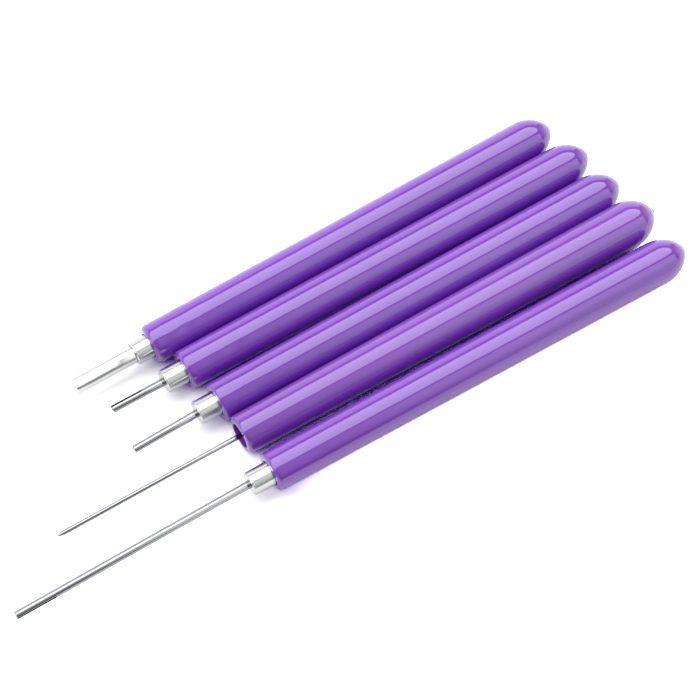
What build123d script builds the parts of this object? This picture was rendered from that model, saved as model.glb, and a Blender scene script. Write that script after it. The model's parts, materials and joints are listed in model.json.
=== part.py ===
from build123d import *
from math import atan2, cos, radians, sin, tan
import os

# A row of five paper quilling tools that lie side by side on a table.
# +X runs from the metal tips to the rounded rear ends, +Y from the front tool to the back one.
# The origin is the middle of the row, on the table. All sizes are in millimetres.

# Handle: a long slow cone that swells towards a rounded rear end.
# The awl's handle comes from a fatter mould, and the medium tool's is trimmed shorter in front.
handle_length = 96.0
medium_handle_length = 95.2
awl_handle_length = 96.7
front_diameter = 8.1
rear_diameter = 9.0
awl_rear_diameter = 9.65
ogive_length = 6.5
blunt_diameter = 1.3
rim_radius = 0.8
# The gate is the small round stub that the mould leaves on the rear tip
gate_diameter = 1.0
gate_height = 0.15
awl_gate_height = 0.45

# Socket in the handle's front: a short wider mouth, then the seat that grips the ferrule
mouth_diameter = 5.15
mouth_depth = 2.2
mouth_chamfer = 0.15

# Ferrule: a turned collar between the handle and the needle
ferrule_diameter = 4.8
ferrule_length = 12.0
ferrule_nose_chamfer = 0.2
ferrule_tail_chamfer = 0.35
hole_countersink = 0.12
drill_point_angle = 118.0

# Needle: a hardened rod glued into the ferrule, with a shallow groove that holds the glue.
# The groove starts where the needle enters the ferrule.
needle_grip = 9.0
needle_end_chamfer_share = 0.22
glue_groove_width = 0.8
glue_groove_depth = 0.1

# Each slotted tool: its needle, its saw cut, and how it lies.
# Reach is how far the needle's tip stands out from the handle's front face, and proud is the same
# for the ferrule's nose. A slot's turn is its angle from upright towards the front of the row.
# Yaw is the handle's angle from the row's length, and lean is the needle's own small angle to it.

# Broad slotted tool, at the back of the row
broad_needle_diameter = 3.6
broad_needle_reach = 16.75
broad_ferrule_proud = 3.45
broad_slot_length = 9.8
broad_slot_width = 0.6
broad_slot_turn = 37.0
broad_yaw = 0.62
broad_lean = 0.27

# Short slotted tool
short_needle_diameter = 1.6
short_needle_reach = 15.7
short_ferrule_proud = 4.35
short_slot_length = 6.6
short_slot_width = 0.35
short_slot_turn = -14.0
short_yaw = 0.15
short_lean = 0.0

# Medium slotted tool
medium_needle_diameter = 1.6
medium_needle_reach = 18.25
medium_ferrule_proud = 4.3
medium_slot_length = 7.25
medium_slot_width = 0.35
medium_slot_turn = -63.0
medium_yaw = 0.15
medium_lean = 1.4

# Awl: its ferrule sits deep inside the handle, and its needle ends in a point
awl_needle_diameter = 1.0
awl_needle_reach = 39.4
awl_ferrule_recess = 3.2
awl_point_length = 1.4
awl_point_diameter = 0.12
awl_yaw = -0.37
awl_lean = 0.17

# Long slotted tool, at the front of the row
long_needle_diameter = 1.6
long_needle_reach = 53.8
long_ferrule_proud = 4.5
long_slot_length = 8.0
long_slot_width = 0.35
long_slot_turn = 78.0
long_yaw = -0.8
long_lean = 0.95

# Free space between neighbours at their fattest point, from the back of the row to the front
broad_short_gap = 0.33
short_medium_gap = 0.45
medium_awl_gap = 0.1
awl_long_gap = 1.2

# How far each rear tip stops short of the long tool's rear tip
broad_stagger = 5.45
short_stagger = 2.65
medium_stagger = 1.65
awl_stagger = 0.0

# How far a cutting profile runs past the surface that it opens
overrun = 1.0
quarter_turn = 90.0


def taper_of(length, rear):
    """The half angle of a handle's cone. A cone that lies on a table tips its axis up by the same angle."""
    return atan2((rear - front_diameter) / 2, length - ogive_length)


def direction(taper, yaw):
    """The unit vector from tip to rear of a rod that lies at this yaw, tipped up by the taper."""
    return Vector(cos(taper) * cos(radians(yaw)), cos(taper) * sin(radians(yaw)), sin(taper))


def rod_plane(origin, taper, yaw):
    """A plane whose X runs along the rod and whose Y stands up from it."""
    across = Vector(sin(radians(yaw)), -cos(radians(yaw)), 0)
    return Plane(origin=origin, x_dir=direction(taper, yaw), z_dir=across)


def turned_plane(rod, turn):
    """The rod's plane turned about the rod, so that its Y leans towards the front of the row."""
    normal = rod.z_dir * cos(radians(turn)) - rod.y_dir * sin(radians(turn))
    return Plane(origin=rod.origin, x_dir=rod.x_dir, z_dir=normal)


def handle_plane(length, rear, stagger, shoulder_y, yaw):
    """The plane of a tool at the middle of its handle's front face."""
    taper = taper_of(length, rear)
    along = direction(taper, yaw)
    shoulder_x = row_length / 2 - stagger - (ogive_length + gate_height) * along.X
    shoulder = Vector(shoulder_x, shoulder_y, rear / 2 * cos(taper))
    return rod_plane(shoulder - along * (length - ogive_length), taper, yaw)


def make_handle(name, plane, length, rear, seat_depth, gate):
    """One moulded handle: tapered body, ogive rear end, gate stub, and the stepped socket."""
    tip = length + gate
    taper = taper_of(length, rear)
    shoulder = (length - ogive_length, rear / 2)
    with BuildPart() as handle:
        with BuildSketch(plane):
            with BuildLine():
                Polyline(
                    (length, blunt_diameter / 2),
                    (length, gate_diameter / 2),
                    (tip, gate_diameter / 2),
                    (tip, 0),
                    (seat_depth, 0),
                    (seat_depth, ferrule_diameter / 2),
                    (mouth_depth, ferrule_diameter / 2),
                    (mouth_depth, mouth_diameter / 2),
                    (0, mouth_diameter / 2),
                    (0, front_diameter / 2),
                    shoulder,
                )
                TangentArc(
                    shoulder,
                    (length, blunt_diameter / 2),
                    tangent=(cos(taper), sin(taper)),
                )
            make_face()
        revolve(axis=Axis(plane.origin, plane.x_dir))
        face = handle.faces().sort_by(Axis(plane.origin, plane.x_dir))[0]
        mouth, rim = face.edges().sort_by(SortBy.RADIUS)
        fillet(rim, rim_radius)
        chamfer(mouth, mouth_chamfer)
    handle.part.label = f"{name}_handle"
    return handle.part


def make_ferrule(name, plane, rod, front, needle_diameter):
    """One turned ferrule, drilled along its needle's line. Front is where its nose lies."""
    tail = front + ferrule_length
    bottom = front + needle_grip
    hole_radius = needle_diameter / 2
    point = hole_radius / tan(radians(drill_point_angle / 2))
    with BuildPart() as ferrule:
        with BuildSketch(plane):
            with BuildLine():
                Polyline(
                    (front, 0),
                    (front, ferrule_diameter / 2 - ferrule_nose_chamfer),
                    (front + ferrule_nose_chamfer, ferrule_diameter / 2),
                    (tail - ferrule_tail_chamfer, ferrule_diameter / 2),
                    (tail, ferrule_diameter / 2 - ferrule_tail_chamfer),
                    (tail, 0),
                    close=True,
                )
            make_face()
        revolve(axis=Axis(plane.origin, plane.x_dir))
        with BuildSketch(rod):
            with BuildLine():
                Polyline(
                    (front - overrun, 0),
                    (front - overrun, hole_radius + hole_countersink + overrun),
                    (front + hole_countersink, hole_radius),
                    (bottom, hole_radius),
                    (bottom + point, 0),
                    close=True,
                )
            make_face()
        revolve(axis=Axis(rod.origin, rod.x_dir), mode=Mode.SUBTRACT)
    ferrule.part.label = f"{name}_ferrule"
    return ferrule.part


def make_needle(name, rod, front, reach, diameter, slot):
    """One needle: a rod with softened ends whose tip is split by a saw cut, or pointed if it has none."""
    radius = diameter / 2
    chamfered = radius * needle_end_chamfer_share
    tail = front + needle_grip
    # The profile stands a quarter turn away from the cut, so the cut doesn't run along the skin's seam.
    if slot:
        slot_length, slot_width, slot_turn = slot
        profile_plane = turned_plane(rod, slot_turn + quarter_turn)
        tip = [(-reach, radius - chamfered), (chamfered - reach, radius)]
    else:
        profile_plane = rod
        tip = [(-reach, awl_point_diameter / 2), (awl_point_length - reach, radius)]
    with BuildPart() as needle:
        with BuildSketch(profile_plane):
            with BuildLine():
                Polyline(
                    (-reach, 0),
                    *tip,
                    (front, radius),
                    (front + glue_groove_width / 2, radius - glue_groove_depth),
                    (front + glue_groove_width, radius),
                    (tail - chamfered, radius),
                    (tail, radius - chamfered),
                    (tail, 0),
                    close=True,
                )
            make_face()
        revolve(axis=Axis(rod.origin, rod.x_dir))
        if slot:
            with BuildSketch(turned_plane(rod, slot_turn)):
                with Locations((slot_length - reach, 0)):
                    Rectangle(slot_length + overrun, diameter + overrun, align=(Align.MAX, Align.CENTER))
            extrude(amount=slot_width / 2, both=True, mode=Mode.SUBTRACT)
    needle.part.label = f"{name}_needle"
    return needle.part


# The row's length is the long tool's own, and its width runs from shoulder to shoulder.
long_direction = direction(taper_of(handle_length, rear_diameter), long_yaw)
row_length = (handle_length + gate_height + long_needle_reach) * long_direction.X
awl_spacing = (rear_diameter + awl_rear_diameter) / 2
short_offset = rear_diameter + broad_short_gap
medium_offset = short_offset + rear_diameter + short_medium_gap
awl_offset = medium_offset + awl_spacing + medium_awl_gap
long_offset = awl_offset + awl_spacing + awl_long_gap
back_y = long_offset / 2

tools = [
    ("broad_slot", handle_length, rear_diameter, broad_stagger, 0, broad_yaw, broad_lean, broad_ferrule_proud,
     broad_needle_diameter, broad_needle_reach, (broad_slot_length, broad_slot_width, broad_slot_turn)),
    ("short_slot", handle_length, rear_diameter, short_stagger, short_offset, short_yaw, short_lean,
     short_ferrule_proud, short_needle_diameter, short_needle_reach,
     (short_slot_length, short_slot_width, short_slot_turn)),
    ("medium_slot", medium_handle_length, rear_diameter, medium_stagger, medium_offset, medium_yaw, medium_lean,
     medium_ferrule_proud, medium_needle_diameter, medium_needle_reach,
     (medium_slot_length, medium_slot_width, medium_slot_turn)),
    ("awl", awl_handle_length, awl_rear_diameter, awl_stagger, awl_offset, awl_yaw, awl_lean, -awl_ferrule_recess,
     awl_needle_diameter, awl_needle_reach, None),
    ("long_slot", handle_length, rear_diameter, 0, long_offset, long_yaw, long_lean, long_ferrule_proud,
     long_needle_diameter, long_needle_reach, (long_slot_length, long_slot_width, long_slot_turn)),
]

os.makedirs("parts", exist_ok=True)
for name, length, rear, stagger, offset, yaw, lean, proud, diameter, reach, slot in tools:
    taper = taper_of(length, rear)
    plane = handle_plane(length, rear, stagger, back_y - offset, yaw)
    # A needle that leans turns about the point where the ferrule's nose meets the handle's axis.
    nose = plane.origin - plane.x_dir * proud
    rod = rod_plane(nose + direction(taper, yaw + lean) * proud, taper, yaw + lean)
    gate = gate_height if slot else awl_gate_height
    handle = make_handle(name, plane, length, rear, ferrule_length - proud, gate)
    ferrule = make_ferrule(name, plane, rod, -proud, diameter)
    needle = make_needle(name, rod, -proud, reach, diameter, slot)
    for piece in (handle, ferrule, needle):
        export_step(piece, f"parts/{piece.label}.step")
        print(piece.label, "volume", round(piece.volume, 2))
    print(name, "front face at", plane.origin, "needle along", rod.x_dir)
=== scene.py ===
# %% [markdown]
# Five paper quilling tools lie side by side on a white table: glossy moulded handles, turned metal
# ferrules and steel needles. The sizes and places of the set are already fixed by a CAD model, which
# is loaded first. This lesson gives every piece a smooth surface and a real finish, and builds the
# studio that shows in the gloss.

# %% Load the frame
import json
import math
import bmesh
import bpy
import numpy as np
from mathutils import Matrix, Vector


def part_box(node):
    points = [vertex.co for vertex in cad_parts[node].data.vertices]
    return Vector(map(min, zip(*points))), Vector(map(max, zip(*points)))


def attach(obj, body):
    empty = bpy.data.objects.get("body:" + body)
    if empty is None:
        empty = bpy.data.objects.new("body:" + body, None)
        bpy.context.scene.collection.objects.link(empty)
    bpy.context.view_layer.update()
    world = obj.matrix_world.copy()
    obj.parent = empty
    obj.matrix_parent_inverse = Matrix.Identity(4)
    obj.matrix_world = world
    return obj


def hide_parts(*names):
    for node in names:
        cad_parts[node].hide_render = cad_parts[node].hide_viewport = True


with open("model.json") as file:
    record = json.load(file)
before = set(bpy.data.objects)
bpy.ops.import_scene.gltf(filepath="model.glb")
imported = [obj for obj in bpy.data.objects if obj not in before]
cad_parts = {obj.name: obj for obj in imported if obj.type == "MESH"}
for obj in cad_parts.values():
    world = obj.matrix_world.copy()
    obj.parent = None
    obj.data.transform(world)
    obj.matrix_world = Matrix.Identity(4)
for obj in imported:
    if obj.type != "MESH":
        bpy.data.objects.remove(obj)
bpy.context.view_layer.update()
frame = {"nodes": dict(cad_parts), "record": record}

MM = 0.001
TOOLS = ["broad_slot", "short_slot", "medium_slot", "awl", "long_slot"]

# %% [markdown]
# The camera comes first, so that every later step can be looked at. It stands above the tips' side,
# almost 60 degrees up, with a long lens that keeps the rods nearly parallel. A camera can be turned
# with angles, but a point to look at and a direction to stand in say the same in words that can be
# checked on the table.

# %% Camera
CAMERA_TARGET = np.array([5.81, -3.65, 4.5]) * MM
CAMERA_DISTANCE = 400 * MM
CAMERA_ELEVATION = 59.14
CAMERA_AZIMUTH = -32.38
CAMERA_LENS = 105.86


def unit(vector):
    """The vector divided by its own length."""
    return vector / np.linalg.norm(vector)


def add_camera():
    """A camera that stands at an azimuth and an elevation from its target, as on a globe."""
    azimuth, elevation = math.radians(CAMERA_AZIMUTH), math.radians(CAMERA_ELEVATION)
    flat = math.cos(elevation)
    back = np.array([math.sin(azimuth) * flat, -math.cos(azimuth) * flat, math.sin(elevation)])
    right = unit(np.cross([0, 0, 1], back))
    turn = np.eye(4)
    turn[:3, 0], turn[:3, 1], turn[:3, 2] = right, np.cross(back, right), back
    turn[:3, 3] = CAMERA_TARGET + back * CAMERA_DISTANCE
    made = bpy.data.objects.new("camera", bpy.data.cameras.new("camera"))
    made.data.lens = CAMERA_LENS
    made.data.clip_start = 10 * MM
    made.matrix_world = Matrix(turn.tolist())
    bpy.context.scene.collection.objects.link(made)
    bpy.context.scene.camera = made
    return made


camera = add_camera()
print("camera stands at", [round(c, 4) for c in camera.matrix_world.translation])

# %% [markdown]
# Where does each tool lie? The frame knows. The record names a mount on each needle: its middle, its
# direction and its free length, and so the point where the needle leaves the ferrule. The rear tip
# is the last ring of the CAD handle. A line from the one to the other is the handle's axis, and the
# handle's vertices tell how long and how fat it is. The five differ a little, and reading them
# keeps the new surfaces exactly where the solids are.

# %% Find each tool in the frame
mounts = {mount["name"]: mount for mount in frame["record"]["mounts"]}
TIP_SLICE = 0.02 * MM
GATE_HEIGHT = 0.15 * MM
AWL_GATE_HEIGHT = 0.45 * MM


def vertices(item):
    """All vertices of a mesh object as rows of x, y and z."""
    flat = np.empty(len(item.data.vertices) * 3, np.float32)
    item.data.vertices.foreach_get("co", flat)
    return flat.reshape(-1, 3).astype(float)


def axes_of(along):
    """Three directions: along the rod, upright from it, and across it towards the front tool."""
    across = unit(np.cross(along, [0, 0, 1]))
    return np.array([along, np.cross(across, along), across])


def needle_of(tool):
    """Where a needle leaves its ferrule, its three directions, and the length of its plain shank."""
    mount = mounts[f"{tool}_shank"]
    along = -unit(np.array(mount["axis"]))
    length = mount["dims"]["length_mm"] * MM
    return np.array(mount["pos_m"]) + along * length / 2, axes_of(along), length


def rear_tip_of(tool):
    """The middle of the gate stub's end: the centre of the box round the handle's last vertices."""
    points = vertices(frame["nodes"][f"{tool}_handle"])
    last = points[points[:, 0] > points[:, 0].max() - TIP_SLICE]
    return (last.min(axis=0) + last.max(axis=0)) / 2


def handle_form(tool):
    """How a handle lies and how big it is: its three directions, the middle of its front face, how far
    the ferrule stands out from it, its length without the gate stub, and its radius at the shoulder."""
    nose, tip = needle_of(tool)[0], rear_tip_of(tool)
    axes = axes_of(unit(tip - nose))
    inside = vertices(frame["nodes"][f"{tool}_handle"]) - tip
    depth = inside @ axes[0]
    fattest = np.linalg.norm(inside - depth[:, None] * axes[0], axis=1).max()
    front = tip + axes[0] * depth.min()
    gate = AWL_GATE_HEIGHT if tool == "awl" else GATE_HEIGHT
    return axes, front, (front - nose) @ axes[0], -depth.min() - gate, fattest


for tool in TOOLS:
    _, _, proud, length, fattest = handle_form(tool)
    print(tool, "handle", round(length / MM, 2), "mm long,", round(2 * fattest / MM, 2),
          "mm across at its fattest, ferrule", round(proud / MM, 2), "mm out")

# %% [markdown]
# Everything here is turned or moulded round an axis, so one surface serves almost every piece: a
# profile carried round a line. A spun curve modifier could do it, but worked out with numpy every
# ring is under control, and a wave or a groove is one more term in the radius. Real edges are never
# knife sharp, and a tiny round on each corner is what catches the light, so the profile's corners
# are rounded first.

# %% A profile with rounded corners
CORNER_STEPS = 5


def rounded(corners, radius):
    """A profile through the corners. Each inner corner becomes a quadratic curve between two points
    that lie one radius before and after it: (1-s)^2 before + 2s(1-s) corner + s^2 after. One more
    point beside each curve keeps its shading from spreading along the straight stretch."""
    corners = np.array(corners, float)
    before = unit_rows(corners[:-2] - corners[1:-1])
    after = unit_rows(corners[2:] - corners[1:-1])
    s = np.linspace(0, 1, CORNER_STEPS)[None, :, None]
    middle = corners[1:-1, None, :]
    start, end = middle + before[:, None, :] * radius, middle + after[:, None, :] * radius
    curve = (1 - s) ** 2 * start + 2 * s * (1 - s) * middle + s**2 * end
    guard = 0.5 * radius
    curve = np.concatenate([start + before[:, None] * guard, curve, end + after[:, None] * guard], axis=1)
    return np.vstack([corners[:1], curve.reshape(-1, 2), corners[-1:]])


def unit_rows(vectors):
    """Each row divided by its own length."""
    return vectors / np.linalg.norm(vectors, axis=1, keepdims=True)


print("a right angle becomes", len(rounded([(0, 0), (1, 0), (1, 1)], 0.1)), "points")

# %% [markdown]
# The profile then goes round the line. A point of the surface is the line's origin, plus its place
# along the line, plus its radius in a direction that turns from upright towards the front of the
# row. The points lie in a grid of rows and sides, so the faces between them can be counted out, and
# Blender's own mesh tools turn them outwards and mark the edges that stay sharp.

# %% Points, faces and a mesh
SHARP_ANGLE = math.radians(40)


def round_points(origin, axes, place, radius, angle):
    """origin + along * place + (upright * cos(angle) + across * sin(angle)) * radius."""
    along, upright, across = axes
    spoke = np.cos(angle)[..., None] * upright + np.sin(angle)[..., None] * across
    return origin + place[..., None] * along + radius[..., None] * spoke


def add_piece(name, points, faces):
    """A new mesh object at the origin, its faces turned outwards, smooth but for its sharp edges."""
    mesh = bpy.data.meshes.new(name)
    mesh.from_pydata(points.tolist(), [], faces)
    shell = bmesh.new()
    shell.from_mesh(mesh)
    bmesh.ops.recalc_face_normals(shell, faces=shell.faces)
    shell.to_mesh(mesh)
    shell.free()
    mesh.shade_smooth()
    mesh.set_sharp_from_angle(angle=SHARP_ANGLE)
    made = bpy.data.objects.new(name, mesh)
    bpy.context.scene.collection.objects.link(made)
    return made


def quads_between(rows, sides):
    """The quads of a grid of rows and sides that closes on itself round the rod."""
    row, side = np.meshgrid(np.arange(rows - 1), np.arange(sides), indexing="ij")
    here, there = row * sides + side, row * sides + (side + 1) % sides
    return np.stack([here, there, there + sides, here + sides], axis=-1).reshape(-1, 4)


print("three rows of eight sides have", len(quads_between(3, 8)), "quads between them")

# %% [markdown]
# A lathe or a round mould makes a full turn of its profile. The two ends of each profile lie on the
# axis, where a whole row would fall into one point. They become one vertex each, with a fan of
# triangles, so the skin is closed and has no faces without an area.

# %% A surface carried round a line
HANDLE_SIDES = 144


def turned(name, origin, axes, profile, sides, swell=None):
    """A closed surface of revolution. swell(place, angle) gives what is added to each radius."""
    angle = np.linspace(0, 2 * math.pi, sides, endpoint=False)
    place, angle = np.meshgrid(profile[1:-1, 0], angle, indexing="ij")
    radius = np.repeat(profile[1:-1, 1:], sides, axis=1)
    if swell:
        radius = radius + swell(place, angle)
    rings = round_points(origin, axes, place, radius, angle).reshape(-1, 3)
    rows, first, last = len(profile) - 2, len(rings), len(rings) + 1
    ends = origin + profile[[0, -1], :1] * axes[0]
    ring = np.arange(sides)
    following = (ring + 1) % sides
    front = np.stack([np.full(sides, first), following, ring], axis=1)
    rear = np.stack([np.full(sides, last), ring, following], axis=1)
    rear[:, 1:] += (rows - 1) * sides
    faces = quads_between(rows, sides).tolist() + front.tolist() + rear.tolist()
    return add_piece(name, np.vstack([rings, ends]), faces)


sag = 4.5 * (1 - math.cos(math.pi / HANDLE_SIDES))
print(HANDLE_SIDES, "sides stay within", round(sag, 4), "mm of a circle 9 mm across")

# %% [markdown]
# A handle is one injection moulding in ABS. Its body is a slow cone, which lets it slide out of the
# mould, and its rear end is an ogive: one circle arc that leaves the cone without a bend. The low
# dome on the tip is where the plastic entered. The mould gives it a generous round at the front. A
# subdivided cylinder would come close, but here each part of the outline is the curve that the
# mould was turned to.

# %% Outline of a handle
FRONT_RADIUS = 4.05 * MM
OGIVE_LENGTH = 6.5 * MM
BLUNT_RADIUS = 0.65 * MM
GATE_KNEE_SHARE = 0.62
RIM_ROWS, BODY_ROWS, OGIVE_ROWS, GATE_ROWS = 18, 108, 44, 12
BODY_CROWDING = 1.6


def arc(centre, radius, start, end, count):
    """Points centre + radius * (cos a, sin a) for angles that run evenly from start to end."""
    angle = np.linspace(start, end, count)
    return np.stack([centre[0] + radius * np.cos(angle), centre[1] + radius * np.sin(angle)], axis=1)


def rim(radius, taper):
    """The round at the front: a quarter circle that touches the front face and the cone."""
    height = FRONT_RADIUS + radius * (math.tan(taper) - 1 / math.cos(taper))
    return arc((radius, height), radius, math.pi, math.pi / 2 + taper, RIM_ROWS)


def ogive(length, fattest, taper):
    """The rear end: the circle arc that leaves the shoulder along the cone and ends at the tip. Its
    radius is the chord's square over twice the chord's share towards the centre."""
    start = np.array([length - OGIVE_LENGTH, fattest])
    inward = np.array([math.sin(taper), -math.cos(taper)])
    chord = np.array([length, BLUNT_RADIUS]) - start
    radius = chord @ chord / (2 * chord @ inward)
    centre = start + inward * radius
    end = np.array([length, BLUNT_RADIUS]) - centre
    return arc(centre, radius, math.pi / 2 + taper, math.atan2(end[1], end[0]), OGIVE_ROWS)


def body_rows(first, last, taper):
    """Places along the cone, close together at the front, where the moulding's marks are."""
    place = first + (last - first) * np.linspace(0, 1, BODY_ROWS + 2)[1:-1] ** BODY_CROWDING
    return np.stack([place, FRONT_RADIUS + place * math.tan(taper)], axis=1)


def gate_stub(foot, end, radius):
    """The low dome on the rear tip: (1-s)^2 foot + 2s(1-s) knee + s^2 end, which leaves the ogive
    without a crease and ends square to the axis."""
    s = np.linspace(0, 1, GATE_ROWS)[:, None]
    foot, knee, end = np.array([(foot, radius), (end, GATE_KNEE_SHARE * radius), (end, 0)])
    return (1 - s) ** 2 * foot + 2 * s * (1 - s) * knee + s**2 * end


print("a rim, a body, a rear end and a stub have", RIM_ROWS, BODY_ROWS, OGIVE_ROWS, GATE_ROWS, "rows")

# %% [markdown]
# In front the mould has a stepped pin: the wide mouth that leaves a dark ring round the ferrule, and
# the seat that the ferrule is pressed into. So the whole profile starts on the seat's floor, comes
# out through the mouth, and goes on over the outside to the rear tip. The awl's stub is larger, and
# the rounds at the front differ from tool to tool.

# %% Handle profile
RIM_RADIUS = {"broad_slot": 1.2 * MM, "short_slot": 0.8 * MM, "medium_slot": 0.5 * MM, "awl": 0.8 * MM,
              "long_slot": 0.8 * MM}
GATE_RADIUS = 0.5 * MM
AWL_GATE_RADIUS = 1.15 * MM
MOUTH_RADIUS = 2.575 * MM
MOUTH_DEPTH = 2.2 * MM
FERRULE_RADIUS = 2.4 * MM
FERRULE_LENGTH = 12.0 * MM
MOULDED_EDGE = 0.06 * MM


def handle_profile(tool):
    """From the seat's floor out through the socket, over the rim, along the body and to the tip."""
    _, _, proud, length, fattest = handle_form(tool)
    taper = math.atan2(fattest - FRONT_RADIUS, length - OGIVE_LENGTH)
    front = rim(RIM_RADIUS[tool], taper)
    seat_depth = FERRULE_LENGTH - proud
    socket = rounded([(seat_depth, 0), (seat_depth, FERRULE_RADIUS), (MOUTH_DEPTH, FERRULE_RADIUS),
                      (MOUTH_DEPTH, MOUTH_RADIUS), (0, MOUTH_RADIUS), (0, front[0, 1])], MOULDED_EDGE)
    height, radius = (AWL_GATE_HEIGHT, AWL_GATE_RADIUS) if tool == "awl" else (GATE_HEIGHT, GATE_RADIUS)
    rear = ogive(length, fattest, taper)
    rear = rear[rear[:, 1] > radius + MOULDED_EDGE]
    stub = gate_stub(rear[-1, 0], length + height, radius)
    body = body_rows(front[-1, 0], length - OGIVE_LENGTH, taper)
    return np.vstack([socket[:-1], front, body, rear, stub])


print("one handle's profile has", len(handle_profile("short_slot")), "rows")

# %% [markdown]
# Hot plastic shrinks as it sets, most where it is thickest, and the surface sinks there by a few
# hundredths of a millimetre. Nobody sees the dent itself, but in a glossy handle every straight
# reflection that crosses it wavers. The marks are put into the mesh, not into a bump map, so that
# they are there from every side: a sum of soft waves along and round the handle, which fades out
# behind the socket, and one shallow waist where the socket ends. Depths and wave lengths are in
# millimetres.

# %% Sink marks
SINK_DEPTH = {"broad_slot": 0.020, "short_slot": 0.008, "medium_slot": 0.008, "awl": 0.004,
              "long_slot": 0.006}
WAIST_DEPTH = {"broad_slot": 0.010, "short_slot": 0.014, "medium_slot": 0.014, "awl": 0.004,
               "long_slot": 0.008}
SINK_RISE = (0.6 * MM, 2.5 * MM)
SINK_FADE = (7.8 * MM, 18.2 * MM)
WAIST_BEHIND_SEAT = 2.0 * MM
WAIST_WIDTH = 2.6 * MM
WAVE_LENGTHS = (4.0, 11.0)
WAVES_ROUND = (2, 7)
WAVE_COUNT = 9
FIRST_SEED = 11
OUTSIDE_ROWS = RIM_ROWS + BODY_ROWS + OGIVE_ROWS + 2


def smooth_step(value, low, high):
    """0 below low, 1 above high, and 3t^2 - 2t^3 between them."""
    t = np.clip((value - low) / (high - low), 0, 1)
    return t * t * (3 - 2 * t)


def sink_marks(tool, seat_depth):
    """A function of place and angle: the sum of sin(k place + p) * sin(m angle + q), with k and m
    drawn once for each tool, times a fade, less a bell curve where the socket ends."""
    draw = np.random.default_rng(TOOLS.index(tool) + FIRST_SEED)
    lengths = draw.uniform(*WAVE_LENGTHS, WAVE_COUNT) * MM
    rounds = draw.integers(*WAVES_ROUND, WAVE_COUNT)
    phases = draw.uniform(0, 2 * math.pi, (WAVE_COUNT, 2))

    def marks(place, angle):
        wave = sum(np.sin(2 * math.pi * place / length + p) * np.sin(m * angle + q)
                   for length, m, (p, q) in zip(lengths, rounds, phases)) / math.sqrt(WAVE_COUNT)
        rise = smooth_step(place, *SINK_RISE)
        fade = rise * (1 - smooth_step(place, *SINK_FADE))
        bell = np.exp(-(((place - seat_depth - WAIST_BEHIND_SEAT) / WAIST_WIDTH) ** 2)) * rise
        return (SINK_DEPTH[tool] * wave * fade - WAIST_DEPTH[tool] * bell) * MM

    def outside_only(place, angle):
        """The marks in the profile's last rows, which are the outside, and nothing in the socket."""
        outside = np.arange(len(place))[:, None] >= len(place) - OUTSIDE_ROWS
        return np.where(outside, marks(place, angle), 0)

    return outside_only


print("sink marks reach", round(SINK_FADE[1] / MM, 1), "mm behind the front face")

# %% [markdown]
# Now the handles can be made. A real one leaves its mould in one shot, so it is one skin here too,
# from the floor of the socket to the rear tip. The check at the end prints how far the skin's box is
# from the solid's: a few hundredths of a millimetre, which is the sink marks and the rounding.

# %% Handles
pieces = {}


def add_handle(tool):
    """One moulded handle in place of its CAD node."""
    axes, front, proud, _, _ = handle_form(tool)
    marks = sink_marks(tool, FERRULE_LENGTH - proud)
    return turned(f"{tool}_moulded_handle", front, axes, handle_profile(tool), HANDLE_SIDES, marks)


def box_difference(node):
    """How far the new piece's box is from its solid's box, in mm: at its low and its high corner."""
    made, (low, high) = vertices(pieces[node]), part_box(node)
    corners = (made.min(axis=0) - np.array(low)) / MM, (made.max(axis=0) - np.array(high)) / MM
    return [np.round(corner, 3) for corner in corners]


for tool in TOOLS:
    pieces[f"{tool}_handle"] = add_handle(tool)
    print(tool, "handle differs from its solid's box by", *box_difference(f"{tool}_handle"))

# %% [markdown]
# The ferrule is a collar turned from aluminium bar on a lathe. The tool leaves a fine spiral of
# marks, which is why the metal looks striped across its length. The marks are grooves in the mesh
# here. A lathe often leaves them about a tenth of a millimetre apart; they are drawn three times as
# coarse, because finer ones would vanish between two pixels.

# %% Ferrules
MARK_PITCH = 0.3 * MM
MARK_DEPTH = 0.006 * MM
MARK_ROWS = 8
NOSE_CHAMFER = 0.2 * MM
TAIL_CHAMFER = 0.35 * MM
HOLE_COUNTERSINK = 0.12 * MM
NEEDLE_GRIP = 9.0 * MM
DRILL_POINT = math.radians(118)
TURNED_EDGE = 0.03 * MM
FERRULE_SIDES = 96


def ferrule_profile(hole_radius, marked_length):
    """From the drilled hole's bottom out of its mouth, over the nose, along the barrel to the tail."""
    bottom = NEEDLE_GRIP + hole_radius / math.tan(DRILL_POINT / 2)
    nose = rounded([(bottom, 0), (NEEDLE_GRIP, hole_radius), (HOLE_COUNTERSINK, hole_radius),
                    (0, hole_radius + HOLE_COUNTERSINK), (0, FERRULE_RADIUS - NOSE_CHAMFER),
                    (NOSE_CHAMFER, FERRULE_RADIUS), (2 * NOSE_CHAMFER, FERRULE_RADIUS)], TURNED_EDGE)
    count = max(2, int(marked_length / MARK_PITCH * MARK_ROWS))
    place = np.linspace(2 * NOSE_CHAMFER, marked_length, count)[1:]
    mark = MARK_DEPTH * (0.5 - 0.5 * np.cos(2 * math.pi * (place - 2 * NOSE_CHAMFER) / MARK_PITCH))
    barrel = np.stack([place, FERRULE_RADIUS - mark], axis=1)
    tail = rounded([(marked_length + NOSE_CHAMFER, FERRULE_RADIUS),
                    (FERRULE_LENGTH - TAIL_CHAMFER, FERRULE_RADIUS),
                    (FERRULE_LENGTH, FERRULE_RADIUS - TAIL_CHAMFER), (FERRULE_LENGTH, 0)], TURNED_EDGE)
    return np.vstack([nose, barrel, tail])


def needle_radius(tool):
    """The needle's radius, from its mount."""
    return mounts[f"{tool}_shank"]["dims"]["r_mm"] * MM


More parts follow.
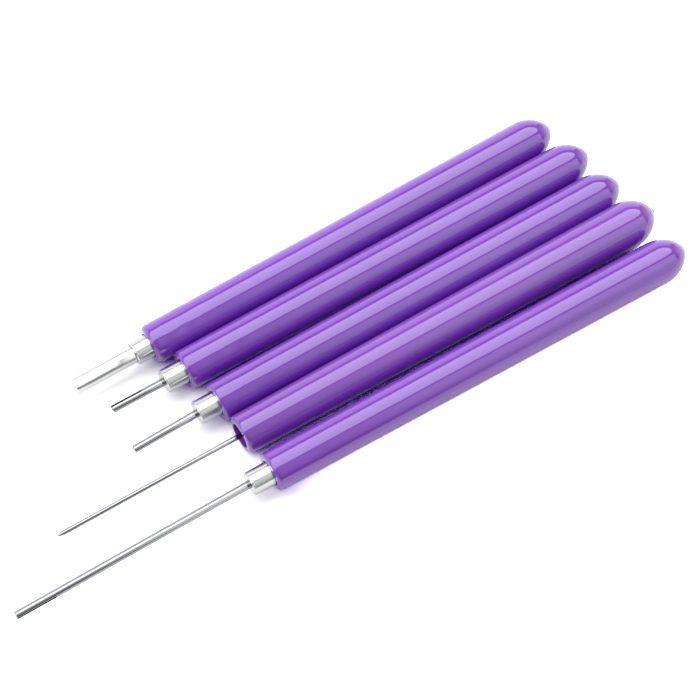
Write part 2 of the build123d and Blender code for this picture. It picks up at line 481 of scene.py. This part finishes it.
def add_ferrule(tool):
    """One turned ferrule in place of its CAD node. Its free end carries the lathe's marks."""
    axes, front, proud, _, _ = handle_form(tool)
    marked = max(proud, 0) + MOUTH_DEPTH
    profile = ferrule_profile(needle_radius(tool), marked)
    return turned(f"{tool}_turned_ferrule", front - axes[0] * proud, axes, profile, FERRULE_SIDES)


for tool in TOOLS:
    pieces[f"{tool}_ferrule"] = add_ferrule(tool)
    print(tool, "ferrule has", len(pieces[f"{tool}_ferrule"].data.vertices), "vertices")

# %% [markdown]
# Each needle is cut from wire, and its tip is softly rounded. Behind the ferrule's nose the solid
# carries on with a shallow groove and a chamfered tail. Nobody sees these two in the drilled hole,
# but a skin that follows its solid all the way can stand in for it. Rows of place and radius say it
# shortest.

# %% Rows along a needle
END_CHAMFER_SHARE = 0.22
END_ROWS = 7
GROOVE_WIDTH = 0.8 * MM
GROOVE_DEPTH = 0.1 * MM


def shank_rows(radius):
    """The groove and the tail: rows of place and radius behind the ferrule's nose."""
    groove = [(0, radius), (GROOVE_WIDTH / 2, radius - GROOVE_DEPTH), (GROOVE_WIDTH, radius)]
    chamfer = radius * END_CHAMFER_SHARE
    tail = [(NEEDLE_GRIP - chamfer, radius), (NEEDLE_GRIP, radius - chamfer)]
    return np.vstack([groove, tail])


def slotted_rows(radius, reach, slot_length):
    """Rows of a slotted needle: an end rounded as cos and sin of an angle, the cut part, the shank."""
    chamfer = radius * END_CHAMFER_SHARE
    a = np.linspace(0, math.pi / 2, END_ROWS)
    end = np.stack([chamfer * (1 - np.sin(a)), radius - chamfer * (1 - np.cos(a))], axis=1)[::-1]
    cut = np.array([(2 * chamfer, radius), (slot_length, radius), (slot_length + chamfer, radius)])
    return np.vstack([end + [-reach, 0], cut + [-reach, 0], shank_rows(radius)])


print("a slotted needle has", len(slotted_rows(0.8 * MM, 20 * MM, 7 * MM)), "rows")

# %% [markdown]
# A slotted needle is a rod whose tip a thin saw has split in two. Cutting it with a boolean would
# leave slivers that show in polished steel. Here the skin is laid out with the cut in mind: the
# columns of the grid start and end exactly at the cut's edges, two flat walls close the prongs, and
# behind the cut the columns join into a whole rod. For each tool the cut has its length and width in
# millimetres and its turn round the needle in degrees.

# %% Slotted needles
SLOT = {"broad_slot": (9.8, 0.6, 37.0), "short_slot": (6.6, 0.35, -14.0),
        "medium_slot": (7.25, 0.35, -63.0), "long_slot": (8.0, 0.35, 78.0)}
PRONG_COLUMNS = 34


def add_slotted_needle(tool):
    """One slotted needle. At each row the columns leave out the angle whose sine is half the cut's
    width over the radius, on both sides of the cut."""
    nose, axes, shank = needle_of(tool)
    radius = needle_radius(tool)
    slot_length, slot_width, slot_turn = SLOT[tool]
    slot_length, slot_width = slot_length * MM, slot_width * MM
    reach = shank + radius * END_CHAMFER_SHARE
    rows = slotted_rows(radius, reach, slot_length)
    gap = np.arcsin(slot_width / 2 / rows[:, 1:])
    sweep = gap + np.linspace(0, 1, PRONG_COLUMNS) * (math.pi - 2 * gap)
    angle = math.radians(slot_turn) + np.hstack([sweep, sweep + math.pi])
    place, spread = np.broadcast_to(rows[:, :1], angle.shape), np.broadcast_to(rows[:, 1:], angle.shape)
    points = round_points(nose, axes, place, spread, angle).reshape(-1, 3)
    root = int(np.argmin(np.abs(rows[:, 0] + reach - slot_length)))
    return add_piece(f"{tool}_steel_needle", points, slotted_faces(len(rows), root))


def slotted_faces(rows, root):
    """Faces of the slotted grid: the skin, the two walls and the floor of the cut, and the ends."""
    sides = 2 * PRONG_COLUMNS
    seams = [PRONG_COLUMNS - 1, sides - 1]
    skin = quads_between(rows, sides).reshape(rows - 1, sides, 4)
    open_skin = np.delete(skin[:root], seams, axis=1).reshape(-1, 4)
    start = np.arange(root)[:, None] * sides
    walls = [start + [a, b, b + sides, a + sides] for a, b in ((0, seams[0]), (seams[0] + 1, seams[1]))]
    floor = root * sides + np.array([[0, seams[0], seams[0] + 1, seams[1]]])
    quads = np.vstack([open_skin, skin[root:].reshape(-1, 4), *walls, floor]).tolist()
    ends = [list(range(0, PRONG_COLUMNS)), list(range(PRONG_COLUMNS, sides)),
            list(range((rows - 1) * sides, rows * sides))]
    return quads + ends


print("the skin of 18 rows, with the cut's root at row 9, has", len(slotted_faces(18, 9)), "faces")

# %% [markdown]
# The awl pierces the paper and curls it, so its needle ends in a ground point. A point that is
# perfectly sharp has no face to catch the light, and no real one is, so it ends in a ball of a few
# hundredths of a millimetre. The grinding wheel leaves a straight cone behind it. It is a plain
# turned form again, and with it all five needles can be made.

# %% Awl needle, and all five
AWL_POINT_LENGTH = 1.4 * MM
AWL_POINT_RADIUS = 0.06 * MM
BALL_ROWS, CONE_ROWS = 5, 14


def add_awl_needle():
    """The awl's needle: a rod that tapers to a point with a small rounded end."""
    nose, axes, shank = needle_of("awl")
    radius = needle_radius("awl")
    a = np.linspace(0, math.pi / 2, BALL_ROWS)
    point = np.stack([AWL_POINT_RADIUS * (1 - np.cos(a)), AWL_POINT_RADIUS * np.sin(a)], axis=1)
    s = np.linspace(0, 1, CONE_ROWS)[1:]
    cone = np.stack([AWL_POINT_RADIUS + (AWL_POINT_LENGTH - AWL_POINT_RADIUS) * s,
                     AWL_POINT_RADIUS + (radius - AWL_POINT_RADIUS) * s], axis=1)
    front = np.vstack([point, cone]) - [AWL_POINT_LENGTH + shank, 0]
    profile = np.vstack([front, shank_rows(radius), [(NEEDLE_GRIP, 0)]])
    return turned("awl_steel_needle", nose, axes, profile, 2 * PRONG_COLUMNS)


for tool in TOOLS:
    pieces[f"{tool}_needle"] = add_slotted_needle(tool) if tool in SLOT else add_awl_needle()
    print(tool, "needle differs from its solid's box by", *box_difference(f"{tool}_needle"))

# %% [markdown]
# Colours are written as the hex values that a paint program shows. Blender works with linear light,
# so one function turns the one into the other. One more function adds a node, sets it and links it,
# and one sets the stops of a colour ramp.

# %% Helpers for materials


def linear(hex_colour):
    """An sRGB hex colour as linear red, green, blue and alpha: ((c + 0.055) / 1.055)^2.4 above 0.04."""
    values = np.array([int(hex_colour[i:i + 2], 16) for i in (1, 3, 5)]) / 255
    values = np.where(values > 0.04045, ((values + 0.055) / 1.055) ** 2.4, values / 12.92)
    return (*values.tolist(), 1.0)


def add_node(tree, kind, settings=None, inputs=None):
    """Adds a node, sets its properties, and gives each input a value or a link from another node."""
    made = tree.nodes.new(kind)
    for name, value in (settings or {}).items():
        setattr(made, name, value)
    for name, value in (inputs or {}).items():
        if isinstance(value, bpy.types.NodeSocket):
            tree.links.new(value, made.inputs[name])
        else:
            made.inputs[name].default_value = value
    return made


def set_stops(ramp, stops):
    """Gives a colour ramp its stops: each has a place from 0 to 1 and a colour."""
    while len(ramp.elements) < len(stops):
        ramp.elements.new(0.5)
    for element, (place, colour) in zip(ramp.elements, stops):
        element.position, element.color = place, colour


def new_material(name):
    """An empty node material and its tree."""
    material = bpy.data.materials.new(name)
    material.use_nodes = True
    material.node_tree.nodes.clear()
    return material, material.node_tree


print("#808080 is", round(linear("#808080")[0], 3), "in linear light")

# %% [markdown]
# The handles are ABS, moulded in a polished steel mould and coloured in the mass. ABS has an index of
# refraction of about 1.54, so its gloss is clear and colourless over a deep body colour. The pigment
# is never mixed quite evenly, the mould's polish leaves a trace of waviness, and fingers dull the
# gloss in places.

# %% Moulded ABS
ABS_IOR = 1.54
GLOSS_TINT = "#efe6ff"
COAT_ROUGHNESS = 0.04
CLOUD_SIZE = 25 * MM
CLOUD_RANGE = (0.3, 0.7)
TOUCH_SIZE = 6 * MM
TOUCH_RANGE = (0.35, 0.75)
GLOSSIEST_SHARE = 0.5
RIPPLE_LENGTH = 3 * MM
RIPPLE_HEIGHT = 0.004 * MM


def moulded_abs(name, darker, lighter, dullest):
    """Coloured ABS: pigment clouds 25 mm wide, gloss that varies over 6 mm, a ripple 3 mm long."""
    material, tree = new_material(name)
    where = add_node(tree, "ShaderNodeTexCoord").outputs["Object"]
    clouds = add_node(tree, "ShaderNodeTexNoise", inputs={
        "Vector": where, "Scale": 1 / CLOUD_SIZE, "Detail": 3.0})
    tint = add_node(tree, "ShaderNodeValToRGB", inputs={"Fac": clouds.outputs["Fac"]})
    set_stops(tint.color_ramp, [(CLOUD_RANGE[0], linear(darker)), (CLOUD_RANGE[1], linear(lighter))])
    touch = add_node(tree, "ShaderNodeTexNoise", inputs={
        "Vector": where, "Scale": 1 / TOUCH_SIZE, "Detail": 6.0})
    gloss = add_node(tree, "ShaderNodeMapRange", inputs={
        "Value": touch.outputs["Fac"], "From Min": TOUCH_RANGE[0], "From Max": TOUCH_RANGE[1],
        "To Min": GLOSSIEST_SHARE * dullest, "To Max": dullest})
    ripple = add_node(tree, "ShaderNodeTexNoise", inputs={
        "Vector": where, "Scale": 1 / RIPPLE_LENGTH, "Detail": 1.0})
    bump = add_node(tree, "ShaderNodeBump", inputs={
        "Height": ripple.outputs["Fac"], "Strength": 1.0, "Distance": RIPPLE_HEIGHT})
    surface = add_node(tree, "ShaderNodeBsdfPrincipled", inputs={
        "Base Color": tint.outputs["Color"], "Roughness": gloss.outputs["Result"],
        "Normal": bump.outputs["Normal"], "IOR": ABS_IOR,
        "Specular Tint": linear(GLOSS_TINT), "Coat Weight": 1.0, "Coat Roughness": COAT_ROUGHNESS})
    add_node(tree, "ShaderNodeOutputMaterial", inputs={"Surface": surface.outputs["BSDF"]})
    return material


PURPLE = moulded_abs("moulded_abs_purple", "#7336ac", "#793ab3", 0.09)
PALER_PURPLE = moulded_abs("moulded_abs_paler_purple", "#783cab", "#7e40b2", 0.13)
print("plastics:", PURPLE.name, "and, for the awl,", PALER_PURPLE.name)

# %% [markdown]
# Bare aluminium from the lathe is pale, very slightly warm, and softly bright: the grooves are in the
# mesh, so the material only adds the fine scratches that run round the collar and a little
# unevenness in the gloss. Real ones lie closer than the 0.06 mm here; they are this coarse so that
# they show.

# %% Turned aluminium
SCRATCH_SIZE = 1.0 * MM
SCRATCH_SQUEEZE = 16.0
SCRATCH_HEIGHT = 0.004 * MM
COLLAR_ROUGHNESS = (0.16, 0.30)


def turned_aluminium():
    """Aluminium: scratches 0.06 mm apart round the rod, made by a noise squeezed along it."""
    material, tree = new_material("turned_aluminium")
    where = add_node(tree, "ShaderNodeTexCoord").outputs["Object"]
    squeezed = add_node(tree, "ShaderNodeMapping", inputs={
        "Vector": where, "Scale": (SCRATCH_SQUEEZE, 1.0, 1.0)})
    scratch = add_node(tree, "ShaderNodeTexNoise", inputs={
        "Vector": squeezed.outputs["Vector"], "Scale": 1 / SCRATCH_SIZE, "Detail": 2.0})
    tint = add_node(tree, "ShaderNodeValToRGB", inputs={"Fac": scratch.outputs["Fac"]})
    set_stops(tint.color_ramp, [(0.0, linear("#bfc0c2")), (1.0, linear("#d9d9d8"))])
    gloss = add_node(tree, "ShaderNodeMapRange", inputs={
        "Value": scratch.outputs["Fac"], "To Min": COLLAR_ROUGHNESS[0], "To Max": COLLAR_ROUGHNESS[1]})
    bump = add_node(tree, "ShaderNodeBump", inputs={
        "Height": scratch.outputs["Fac"], "Strength": 0.5, "Distance": SCRATCH_HEIGHT})
    surface = add_node(tree, "ShaderNodeBsdfPrincipled", inputs={
        "Base Color": tint.outputs["Color"], "Metallic": 1.0, "Roughness": gloss.outputs["Result"],
        "Normal": bump.outputs["Normal"]})
    add_node(tree, "ShaderNodeOutputMaterial", inputs={"Surface": surface.outputs["BSDF"]})
    return material


COLLAR = turned_aluminium()
print("ferrules:", COLLAR.name)

# %% [markdown]
# The needles are hardened steel wire, drawn through a die and polished. Drawing leaves hair lines
# along the wire, so the same noise is stretched the other way. Real ones are a few hundredths of a
# millimetre wide; they are drawn 0.15 mm wide so that they show. They make the reflections on the
# wire a little frayed along its length. The broad rod is ground and looks brighter and softer.

# %% Drawn steel
HAIR_WIDTH = 0.15 * MM
HAIR_STRETCH = 0.03
HAIR_HEIGHT = 0.002 * MM
SPOT_SIZE = 2.0 * MM


def drawn_steel(name, darker, lighter, dullest):
    """Steel: hair lines along the rod, made by a noise stretched along it and narrow across it."""
    material, tree = new_material(name)
    where = add_node(tree, "ShaderNodeTexCoord").outputs["Object"]
    stretched = add_node(tree, "ShaderNodeMapping", inputs={
        "Vector": where, "Scale": (HAIR_STRETCH, 1.0, 1.0)})
    hair = add_node(tree, "ShaderNodeTexNoise", inputs={
        "Vector": stretched.outputs["Vector"], "Scale": 1 / HAIR_WIDTH, "Detail": 3.0})
    spots = add_node(tree, "ShaderNodeTexNoise", inputs={
        "Vector": where, "Scale": 1 / SPOT_SIZE, "Detail": 4.0})
    tint = add_node(tree, "ShaderNodeValToRGB", inputs={"Fac": spots.outputs["Fac"]})
    set_stops(tint.color_ramp, [(0.0, linear(darker)), (1.0, linear(lighter))])
    gloss = add_node(tree, "ShaderNodeMapRange", inputs={
        "Value": hair.outputs["Fac"], "To Min": GLOSSIEST_SHARE * dullest, "To Max": dullest})
    bump = add_node(tree, "ShaderNodeBump", inputs={
        "Height": hair.outputs["Fac"], "Strength": 0.3, "Distance": HAIR_HEIGHT})
    surface = add_node(tree, "ShaderNodeBsdfPrincipled", inputs={
        "Base Color": tint.outputs["Color"], "Metallic": 1.0, "Roughness": gloss.outputs["Result"],
        "Normal": bump.outputs["Normal"]})
    add_node(tree, "ShaderNodeOutputMaterial", inputs={"Surface": surface.outputs["BSDF"]})
    return material


WIRE = drawn_steel("drawn_steel", "#939498", "#a2a3a7", 0.12)
BRIGHT_ROD = drawn_steel("bright_ground_steel", "#cfd0d1", "#dcdcdc", 0.3)
print("needles:", WIRE.name, "and, for the broad tool,", BRIGHT_ROD.name)

# %% [markdown]
# Each new surface takes its finish, rides with its own tool, and stands for the CAD node whose place
# it fills. The solids stay in the physics model, out of sight.

# %% Dress the tools
for tool in TOOLS:
    finish = {"handle": PALER_PURPLE if tool == "awl" else PURPLE, "ferrule": COLLAR,
              "needle": BRIGHT_ROD if tool == "broad_slot" else WIRE}
    for kind, material in finish.items():
        piece = pieces[f"{tool}_{kind}"]
        piece.data.materials.append(material)
        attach(piece, f"{tool}_tool")
        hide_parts(f"{tool}_{kind}")
print("pieces", len(pieces), "triangles", sum(len(p.data.loop_triangles) for p in pieces.values()))

# %% [markdown]
# The tools lie on a white table, and what the camera sees of it is painted light. A painted glow,
# far brighter than white, lies in front of the row and behind the rear ends and washes out the tools'
# shadows there. It is weaker towards the tips, where the soft shadows of the ferrules stay. In the
# narrow gaps between handles a dark purple is painted as shade. An ambient occlusion node finds those
# places by how much of the sky is open, so they move with the tools, where a patch fixed to the table
# would stay behind. What is seen directly or through glass follows the painted glow. In reflections
# the table is plainly white, but for the painted shade in the closed-in places, and for the light that
# it sends to the tools it is plainly white everywhere.

# %% Table
TABLE_SIZE = 3.0
TABLE_COLOUR = 0.9
TABLE_MIRRORED = 1.1
# Painted glow: how bright the camera sees the table, at the tips and in front of the row, above white so that
# shadows wash out.
PAINTED_GLOW_AT_TIPS = "#ffffff", 1.5
PAINTED_GLOW_IN_FRONT = "#ffffff", 5.0
# Painted shade: a dark purple where the table is closed in between the handles, seen directly and in
# reflections.
PAINTED_SHADE_BETWEEN_HANDLES = "#8f4ae6", 0.9
PAINTED_GLOW_RISE = (-26 * MM, 0 * MM)
CLOSED_IN_REACH = 15 * MM
CLOSED_IN = (0.22, 0.12)
COLOURS = {"data_type": "RGBA"}
SMOOTH_STEP = {"interpolation_type": "SMOOTHSTEP"}


def bright(hex_colour, level):
    """A colour times a level, which may be more than 1."""
    return (*(level * part for part in linear(hex_colour)[:3]), 1.0)


def table_with_painted_light():
    """The white table with painted light: a painted glow, seen directly, that rises along the tools, and
    painted shade where a point is closed in, which is where less than a quarter of the sky within 15 mm
    is open."""
    material, tree = new_material("white_table_painted_glow_and_shade")
    where = add_node(tree, "ShaderNodeTexCoord").outputs["Object"]
    place = add_node(tree, "ShaderNodeSeparateXYZ", inputs={"Vector": where}).outputs
    open_sky = add_node(tree, "ShaderNodeAmbientOcclusion", {"samples": 16}, {"Distance": CLOSED_IN_REACH})
    # Painted shade share, from the open sky: 0 where the table is open, 1 where it is closed in.
    painted_shade_share = add_node(tree, "ShaderNodeMapRange", SMOOTH_STEP, {
        "Value": open_sky.outputs["AO"], "From Min": CLOSED_IN[0], "From Max": CLOSED_IN[1]}).outputs[0]
    # The painted glow rises along the tools, and painted shade takes its place where the table is closed in.
    rising = add_node(tree, "ShaderNodeMapRange", SMOOTH_STEP, {
        "Value": place["X"], "From Min": PAINTED_GLOW_RISE[0], "From Max": PAINTED_GLOW_RISE[1]}).outputs[0]
    painted_glow = add_node(tree, "ShaderNodeMix", COLOURS, {
        0: rising, 6: bright(*PAINTED_GLOW_AT_TIPS), 7: bright(*PAINTED_GLOW_IN_FRONT)}).outputs[2]
    painted_glow = add_node(tree, "ShaderNodeMix", COLOURS, {
        0: painted_shade_share, 6: painted_glow, 7: bright(*PAINTED_SHADE_BETWEEN_HANDLES)}).outputs[2]
    ray = add_node(tree, "ShaderNodeLightPath").outputs
    direct = add_node(tree, "ShaderNodeMath", {"operation": "MAXIMUM"}, {
        0: ray["Is Camera Ray"], 1: ray["Is Transmission Ray"]})
    colour = add_node(tree, "ShaderNodeMix", COLOURS, {
        0: direct.outputs[0], 6: bright("#ffffff", TABLE_COLOUR), 7: painted_glow}).outputs[2]
    # In reflections the table is white, with the same painted shade where it is closed in.
    mirrored_with_painted_shade = add_node(tree, "ShaderNodeMix", COLOURS, {
        0: painted_shade_share, 6: bright("#ffffff", TABLE_MIRRORED), 7: bright(*PAINTED_SHADE_BETWEEN_HANDLES)}).outputs[2]
    colour = add_node(tree, "ShaderNodeMix", COLOURS, {
        0: ray["Is Glossy Ray"], 6: colour, 7: mirrored_with_painted_shade}).outputs[2]
    table_diffuse = add_node(tree, "ShaderNodeBsdfDiffuse", inputs={"Color": colour})
    add_node(tree, "ShaderNodeOutputMaterial", inputs={"Surface": table_diffuse.outputs[0]})
    return material


half = TABLE_SIZE / 2
corners = np.array([(-half, -half, 0), (half, -half, 0), (half, half, 0), (-half, half, 0)])
table = add_piece("table", corners, [[0, 1, 2, 3]])
table.data.materials.append(table_with_painted_light())
print("table", TABLE_SIZE, "m square")

# %% [markdown]
# The studio is what the gloss shows, and for shiny surfaces it is painted on the world. Real cards
# and lamps all round would do it too, but they would take many lamps to place and would light the
# table as well. Grey ramps give the levels at angles in degrees. Above, a little behind the tools,
# hangs a wide soft box that runs along them. Its outline is a superellipse, so the strip that it
# leaves on each handle has a rounded end.

# %% Ramps and the soft box
BOX = [(0, 2.9), (70, 2.9), (130, 3.8), (180, 3.8)]
BOX_MIDDLE = 99.5
BOX_HALF_WIDTH = 27.5
BOX_END = 58.0
BOX_ROUNDNESS = 3.0
BOX_EDGE = (0.9, 1.1)
STUDIO_PEAK = 4.0


def level_at(tree, degrees, stops, peak=1.0):
    """The grey level at an angle. Each stop gives degrees and a level, and the last one ends the
    ramp. Levels above 1 are stored as shares of the peak, and multiplied by it at the end."""
    span = stops[-1][0]
    share = add_node(tree, "ShaderNodeMath", {"operation": "DIVIDE"}, {0: degrees, 1: span})
    grey = add_node(tree, "ShaderNodeValToRGB", inputs={"Fac": share.outputs[0]})
    set_stops(grey.color_ramp, [(angle / span, (*[level / peak] * 3, 1)) for angle, level in stops])
    return grey.outputs["Color"]


def inside_box(tree, round_degrees, end_degrees):
    """1 inside the soft box and 0 outside. Its outline is a superellipse: the third powers of both
    distances from its middle, each over the box's half size, add up to 1."""
    away = add_node(tree, "ShaderNodeMath", {"operation": "SUBTRACT"}, {0: round_degrees, 1: BOX_MIDDLE})
    far = add_node(tree, "ShaderNodeMath", {"operation": "MAXIMUM"}, {0: end_degrees, 1: 0.0})
    powers = []
    for distance, half_size in ((away, BOX_HALF_WIDTH), (far, BOX_END)):
        size = add_node(tree, "ShaderNodeMath", {"operation": "ABSOLUTE"}, {0: distance.outputs[0]})
        share = add_node(tree, "ShaderNodeMath", {"operation": "DIVIDE"}, {0: size.outputs[0], 1: half_size})
        power = add_node(tree, "ShaderNodeMath", {"operation": "POWER"}, {
            0: share.outputs[0], 1: BOX_ROUNDNESS})
        powers.append(power.outputs[0])
    total = add_node(tree, "ShaderNodeMath", {"operation": "ADD"}, {0: powers[0], 1: powers[1]})
    return add_node(tree, "ShaderNodeMapRange", inputs={
        "Value": total.outputs[0], "From Min": BOX_EDGE[0], "From Max": BOX_EDGE[1], "To Min": 1.0,
        "To Max": 0.0}).outputs[0]


print("the soft box lies between", BOX_MIDDLE - BOX_HALF_WIDTH, "and", BOX_MIDDLE + BOX_HALF_WIDTH, "degrees")

# %% [markdown]
# White walls and a white table lie all round the tools, and the soft box is framed in black. One
# angle goes round the tools' length: 0 degrees is the horizon on the front tool's side, 90 is
# overhead and 180 is the horizon behind. A second one goes towards the rear tips, where the frame
# ends. The wall in front of the tools stands at a slant, so it is dim towards the needles and bright
# towards the rear, and so is the dark edge of the table below it. Matt surfaces get the same plain
# light from every side.

# %% World
WALLS = [(0, 1.3), (22, 1.3), (40, 1.85), (63, 1.85), (65, 0.6), (70, 0.5), (129, 0.5),
         (140, 0.4), (144, 1.45), (180, 1.45)]
FRONT_WALL = [(0, 1.0), (63, 1.0), (65, 0.0), (180, 0.0)]
FRONT_WALL_FADE = [(0, 0.22), (8, 0.3), (11, 0.42), (13.5, 0.56), (15.5, 0.76), (19.5, 0.93), (22, 1.0),
                   (90, 1.0)]
SKIRTING = [(0, 1.0), (12, 1.0), (21, 0.0), (180, 0.0)]
SKIRTING_LEVEL = [(0, 0.08), (11, 0.18), (13.5, 0.25), (15.5, 0.5), (19.5, 1.0), (22, 1.3), (90, 1.3)]
FRAME_END = [(0, 0.0), (59, 0.0), (60, 1.0), (90, 1.0)]
BEYOND_END = [(0, 0.5), (64, 0.5), (80, 1.1), (90, 1.2)]
AMBIENT = 0.62


def studio_world():
    """The world: white to the camera, plain to matt surfaces, and the painted studio to gloss. The
    angle round the tools is atan2(z, -y), and the angle towards the rear tips is asin(x)."""
    world = bpy.data.worlds.new("studio")
    world.use_nodes = True
    tree = world.node_tree
    tree.nodes.clear()
    seen = add_node(tree, "ShaderNodeLightPath").outputs
    way = add_node(tree, "ShaderNodeTexCoord").outputs["Generated"]
    parts = add_node(tree, "ShaderNodeSeparateXYZ", inputs={"Vector": way}).outputs
    front = add_node(tree, "ShaderNodeMath", {"operation": "MULTIPLY"}, {0: parts["Y"], 1: -1.0})
    round_angle = add_node(tree, "ShaderNodeMath", {"operation": "ARCTAN2"}, {
        0: parts["Z"], 1: front.outputs[0]})
    end_angle = add_node(tree, "ShaderNodeMath", {"operation": "ARCSINE"}, {0: parts["X"]})
    round_degrees = add_node(tree, "ShaderNodeMath", {"operation": "DEGREES"}, {
        0: round_angle.outputs[0]}).outputs[0]
    end_degrees = add_node(tree, "ShaderNodeMath", {"operation": "DEGREES"}, {
        0: end_angle.outputs[0]}).outputs[0]
    walls = add_node(tree, "ShaderNodeMix", {**COLOURS, "blend_type": "MULTIPLY"}, {
        0: level_at(tree, round_degrees, FRONT_WALL), 6: level_at(tree, round_degrees, WALLS, STUDIO_PEAK),
        7: level_at(tree, end_degrees, FRONT_WALL_FADE)}).outputs[2]
    walls = add_node(tree, "ShaderNodeMix", COLOURS, {
        0: level_at(tree, round_degrees, SKIRTING), 6: walls,
        7: level_at(tree, end_degrees, SKIRTING_LEVEL, STUDIO_PEAK)}).outputs[2]
    beyond = level_at(tree, end_degrees, BEYOND_END, STUDIO_PEAK)
    around = add_node(tree, "ShaderNodeMix", COLOURS, {
        0: level_at(tree, end_degrees, FRAME_END), 6: walls, 7: beyond})
    box = level_at(tree, round_degrees, BOX, STUDIO_PEAK)
    painted = add_node(tree, "ShaderNodeMix", COLOURS, {
        0: inside_box(tree, round_degrees, end_degrees), 6: around.outputs[2], 7: box})
    gloss_light = add_node(tree, "ShaderNodeBackground", inputs={
        "Color": painted.outputs[2], "Strength": STUDIO_PEAK})
    matt_light = add_node(tree, "ShaderNodeBackground", inputs={"Color": (1, 1, 1, 1), "Strength": AMBIENT})
    white = add_node(tree, "ShaderNodeBackground", inputs={"Color": (1, 1, 1, 1), "Strength": 1.0})
    lit = add_node(tree, "ShaderNodeMixShader", inputs={
        0: seen["Is Glossy Ray"], 1: matt_light.outputs[0], 2: gloss_light.outputs[0]})
    direct = add_node(tree, "ShaderNodeMath", {"operation": "MAXIMUM"}, {
        0: seen["Is Camera Ray"], 1: seen["Is Transmission Ray"]})
    shown = add_node(tree, "ShaderNodeMixShader", inputs={
        0: direct.outputs[0], 1: lit.outputs[0], 2: white.outputs[0]})
    add_node(tree, "ShaderNodeOutputWorld", inputs={"Surface": shown.outputs[0]})
    bpy.context.scene.world = world
    return world


world = studio_world()
print("studio painted with", len(WALLS), "stops round the tools,", len(world.node_tree.nodes), "nodes")

# %% [markdown]
# The painted box only shows in the gloss. The light that it would throw on the matt colour below
# the gloss comes from one area lamp of about its size. It hangs a little further back than the
# painted box, tipped to face the tools, which leaves their front sides a touch darker. A large lamp
# close by is what makes the shadows soft.

# %% Lamp
LAMP_DISTANCE = 0.55
LAMP_ANGLE = 120.0
LAMP_SIZE = (1.6, 0.54)
LAMP_WATTS = 5.6


def add_lamp():
    """The soft box as an area lamp, at its angle round the tools' length, facing them."""
    light = bpy.data.lights.new("soft_box", "AREA")
    light.shape = "RECTANGLE"
    light.size, light.size_y = LAMP_SIZE
    light.energy = LAMP_WATTS
    lamp = bpy.data.objects.new("soft_box", light)
    angle = math.radians(LAMP_ANGLE)
    lamp.location = (0, -LAMP_DISTANCE * math.cos(angle), LAMP_DISTANCE * math.sin(angle))
    lamp.rotation_euler = (math.pi / 2 - angle, 0, 0)
    lamp.visible_camera = False
    lamp.visible_glossy = False
    bpy.context.scene.collection.objects.link(lamp)
    return lamp


lamp = add_lamp()
print("soft box at", [round(c, 3) for c in lamp.location])

# %% [markdown]
# The colours are shown as they are computed, without a film curve.

# %% View
bpy.context.scene.view_settings.view_transform = "Standard"
bpy.context.view_layer.update()
